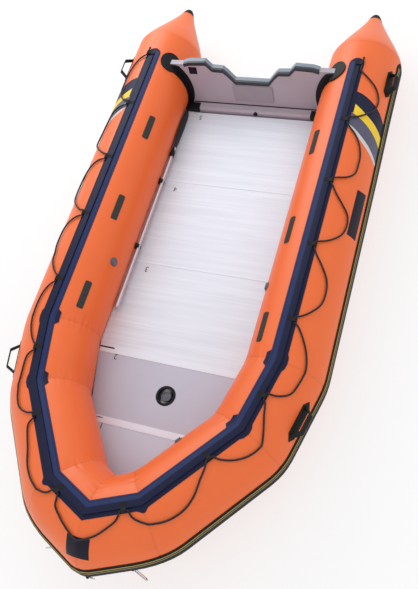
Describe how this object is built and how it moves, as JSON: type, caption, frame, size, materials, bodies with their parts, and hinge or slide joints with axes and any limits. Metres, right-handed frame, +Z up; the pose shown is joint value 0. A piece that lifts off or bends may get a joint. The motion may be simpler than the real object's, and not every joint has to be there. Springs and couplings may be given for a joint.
{
  "type": "inflatable rescue boat",
  "caption": "Inflatable boat with round side tubes meeting in a raised bow, board floor, leaning stepped transom, rub strake, rope grab line, carrying handles and stowed oars",
  "frame": {"origin": "on the ground under the middle of the boat's box", "axes": "X to port, Y aft along the boat, Z up"},
  "size_m": [2.0562, 4.2188, 0.6662],
  "materials": {
    "orange_fabric": "coated fabric, satin, welded seams",
    "black_rubber": "moulded rubber, satin",
    "blue_strip": "moulded non-slip strip, dark blue",
    "black_rope": "braided synthetic rope",
    "grey_fabric": "coated fabric, satin grey",
    "grey_board": "coated board with a fine non-slip grain",
    "white_profile": "extruded profile, white",
    "aluminium": "anodised extrusion",
    "light_moulding": "moulded edge trim, light grey",
    "grey_plastic": "moulded, mid grey",
    "dark_grey_rubber": "moulded rubber, dark grey",
    "stainless_steel": "polished stainless wire",
    "black_plastic": "moulded, near black"
  },
  "bodies": {
    "hull": {"access_port_ring": "black_plastic", "bottom_fabric": "grey_fabric", "bow_ring_patch_centre": "black_rubber", "bow_ring_patch_port": "black_rubber", "bow_ring_patch_starboard": "black_rubber", "chamber_valve_bow": "black_plastic", "chamber_valve_port": "black_plastic", "chamber_valve_starboard": "black_plastic", "cone_tip_port": "black_rubber", "cone_tip_starboard": "black_rubber", "floorboard_1": "grey_board", "floorboard_2": "grey_board", "floorboard_3": "aluminium", "floorboard_4": "aluminium", "floorboard_5": "aluminium", "foot_beam": "grey_board", "grab_line_bow": "black_rope", "grab_line_port": "black_rope", "grab_line_starboard": "black_rope", "handle_bow_port": "black_rubber", "handle_bow_starboard": "black_rubber", "handle_stern_port": "black_rubber", "handle_stern_starboard": "black_rubber", "joiner_1_2": "white_profile", "joiner_2_3": "white_profile", "joiner_3_4": "white_profile", "joiner_4_5": "white_profile", "keel_tube": "grey_fabric", "keel_valve": "grey_plastic", "motor_pad_inner": "black_plastic", "motor_pad_outer": "black_plastic", "oar_clip_port_1": "black_plastic", "oar_clip_port_2": "black_plastic", "oar_clip_starboard_1": "black_plastic", "oar_clip_starboard_2": "black_plastic", "rub_strake": "black_rubber", "side_pad_port_1": "dark_grey_rubber", "side_pad_port_2": "dark_grey_rubber", "side_pad_port_3": "dark_grey_rubber", "side_pad_starboard_1": "dark_grey_rubber", "side_pad_starboard_2": "dark_grey_rubber", "side_pad_starboard_3": "dark_grey_rubber", "stringer_port": "aluminium", "stringer_starboard": "aluminium", "top_strip": "blue_strip", "transom_board": "grey_board", "transom_cap": "light_moulding", "transom_holder_port": "black_plastic", "transom_holder_starboard": "black_plastic", "tube_chamber_bow": "orange_fabric", "tube_chamber_port": "orange_fabric", "tube_chamber_starboard": "orange_fabric"},
    "oar_port": {"oar_blade_port": "black_plastic", "oar_shaft_port": "aluminium"},
    "oar_starboard": {"oar_blade_starboard": "black_plastic", "oar_shaft_starboard": "aluminium"},
    "plug": {"drain_plug": "black_plastic"},
    "ring_centre": {"bow_ring_centre": "stainless_steel"},
    "link_port": {"bow_link_port": "stainless_steel"},
    "link_starboard": {"bow_link_starboard": "stainless_steel"}
  },
  "joints": [
    {"name": "oar_port_lift", "type": "slide", "parent": "hull", "child": "oar_port", "axis": [-1, 0, 0], "range_m": [0, 0.12]},
    {"name": "oar_starboard_lift", "type": "slide", "parent": "hull", "child": "oar_starboard", "axis": [1, 0, 0], "range_m": [0, 0.12]},
    {"name": "drain_pull", "type": "slide", "parent": "hull", "child": "plug", "axis": [0, -1, 0], "range_m": [0, 0.045]},
    {"name": "ring_centre_swing", "type": "hinge", "parent": "hull", "child": "ring_centre", "pos_m": [0, -2.09404, 0.34188], "axis": [1, 0, 0], "range_deg": [-80, 12]},
    {"name": "link_port_swing", "type": "hinge", "parent": "hull", "child": "link_port", "pos_m": [0.23608, -1.98644, 0.31754], "axis": [0.1962, -0.2141, 0.9569], "range_deg": [-70, 30]},
    {"name": "link_starboard_swing", "type": "hinge", "parent": "hull", "child": "link_starboard", "pos_m": [-0.23608, -1.98644, 0.31754], "axis": [0.1962, 0.2141, -0.9569], "range_deg": [-70, 30]}
  ]
}
